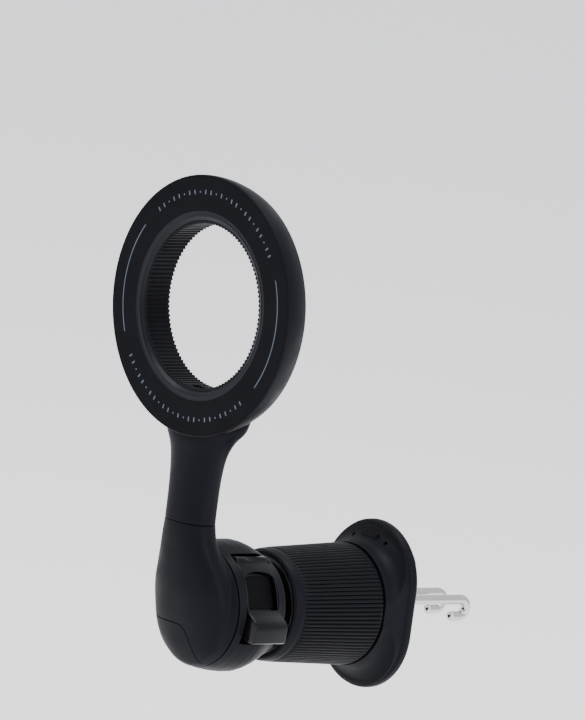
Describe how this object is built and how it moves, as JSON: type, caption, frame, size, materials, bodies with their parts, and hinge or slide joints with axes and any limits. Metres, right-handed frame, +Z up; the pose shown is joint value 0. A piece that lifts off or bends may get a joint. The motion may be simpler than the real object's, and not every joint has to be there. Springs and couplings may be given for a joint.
{
  "type": "car phone mount",
  "caption": "Magnetic ring phone mount for a car air vent, with a swivel arm, ball joint pod, lock lever, ribbed screw knob, oval base plate and metal vent hook.",
  "frame": {"origin": "centre of the base plate's rear face, on the knob axis, where the mount rests on the vent", "axes": "+Y into the dashboard along the knob axis, +Z up through the ring head, +X to the driver's right"},
  "size_m": [0.0652, 0.1018, 0.13],
  "materials": {
    "shell": "satin",
    "inner": "matte",
    "pad": "matte",
    "lever_gloss": "gloss",
    "white_plastic": "satin",
    "steel": "brushed",
    "hook_metal": "polished",
    "alloy": "satin",
    "marks": "satin"
  },
  "bodies": {
    "base": {"base_plate": "shell", "base_pads": "pad", "base_core": "inner", "base_screws": "steel", "ball_stud": "alloy", "thrust_washer": "white_plastic"},
    "knob": {"knob_grip": "shell", "knob_sleeve": "inner", "knob_lip": "shell", "knob_ring": "steel"},
    "hook": {"hook_carriage": "inner", "hook_fork": "hook_metal", "hook_rivet": "steel"},
    "ball_seat": {"ball_liner": "white_plastic"},
    "socket": {"socket_cup": "inner"},
    "pod": {"pod_shell": "shell", "socket_collar": "shell", "seam_band": "inner", "friction_disc": "pad", "pod_front": "shell", "pod_cover": "shell", "pod_screws": "steel", "lever_pin": "steel", "swivel_post": "steel", "post_clip": "steel"},
    "lever": {"lock_lever": "lever_gloss"},
    "head": {"ring_housing": "shell", "ring_back": "inner", "magnet_yoke": "steel", "magnets": "hook_metal", "face_pad": "pad", "face_lip": "shell", "face_marks": "marks", "bore_grip": "inner", "swivel_bush": "white_plastic"}
  },
  "joints": [
    {"name": "knob_turn", "type": "hinge", "parent": "base", "child": "knob", "pos_m": [0, -0.025, 0], "axis": [0, 1, 0], "range_deg": [0, 1440]},
    {"name": "hook_slide", "type": "slide", "parent": "base", "child": "hook", "axis": [0, -1, 0], "range_m": [0, 0.008]},
    {"name": "ball_pan", "type": "hinge", "parent": "base", "child": "ball_seat", "pos_m": [0, -0.048, 0], "axis": [0, 0, 1], "range_deg": [-8, 8]},
    {"name": "ball_tilt", "type": "hinge", "parent": "ball_seat", "child": "socket", "pos_m": [0, -0.048, 0], "axis": [1, 0, 0], "range_deg": [-8, 8]},
    {"name": "pod_roll", "type": "hinge", "parent": "socket", "child": "pod", "pos_m": [0, -0.048, 0], "axis": [0, 1, 0], "continuous": true},
    {"name": "lever_lock", "type": "hinge", "parent": "pod", "child": "lever", "pos_m": [0.00795, -0.053, 0.01225], "axis": [0, -1, 0], "range_deg": [0, 55]},
    {"name": "head_swivel", "type": "hinge", "parent": "pod", "child": "head", "pos_m": [0, -0.0672, 0.0216], "axis": [0, 0, 1], "range_deg": [-90, 90]}
  ],
  "couplings": [
    {"joint": "hook_slide", "follows": "knob_turn", "m_per_rad": 0.0003183}
  ]
}
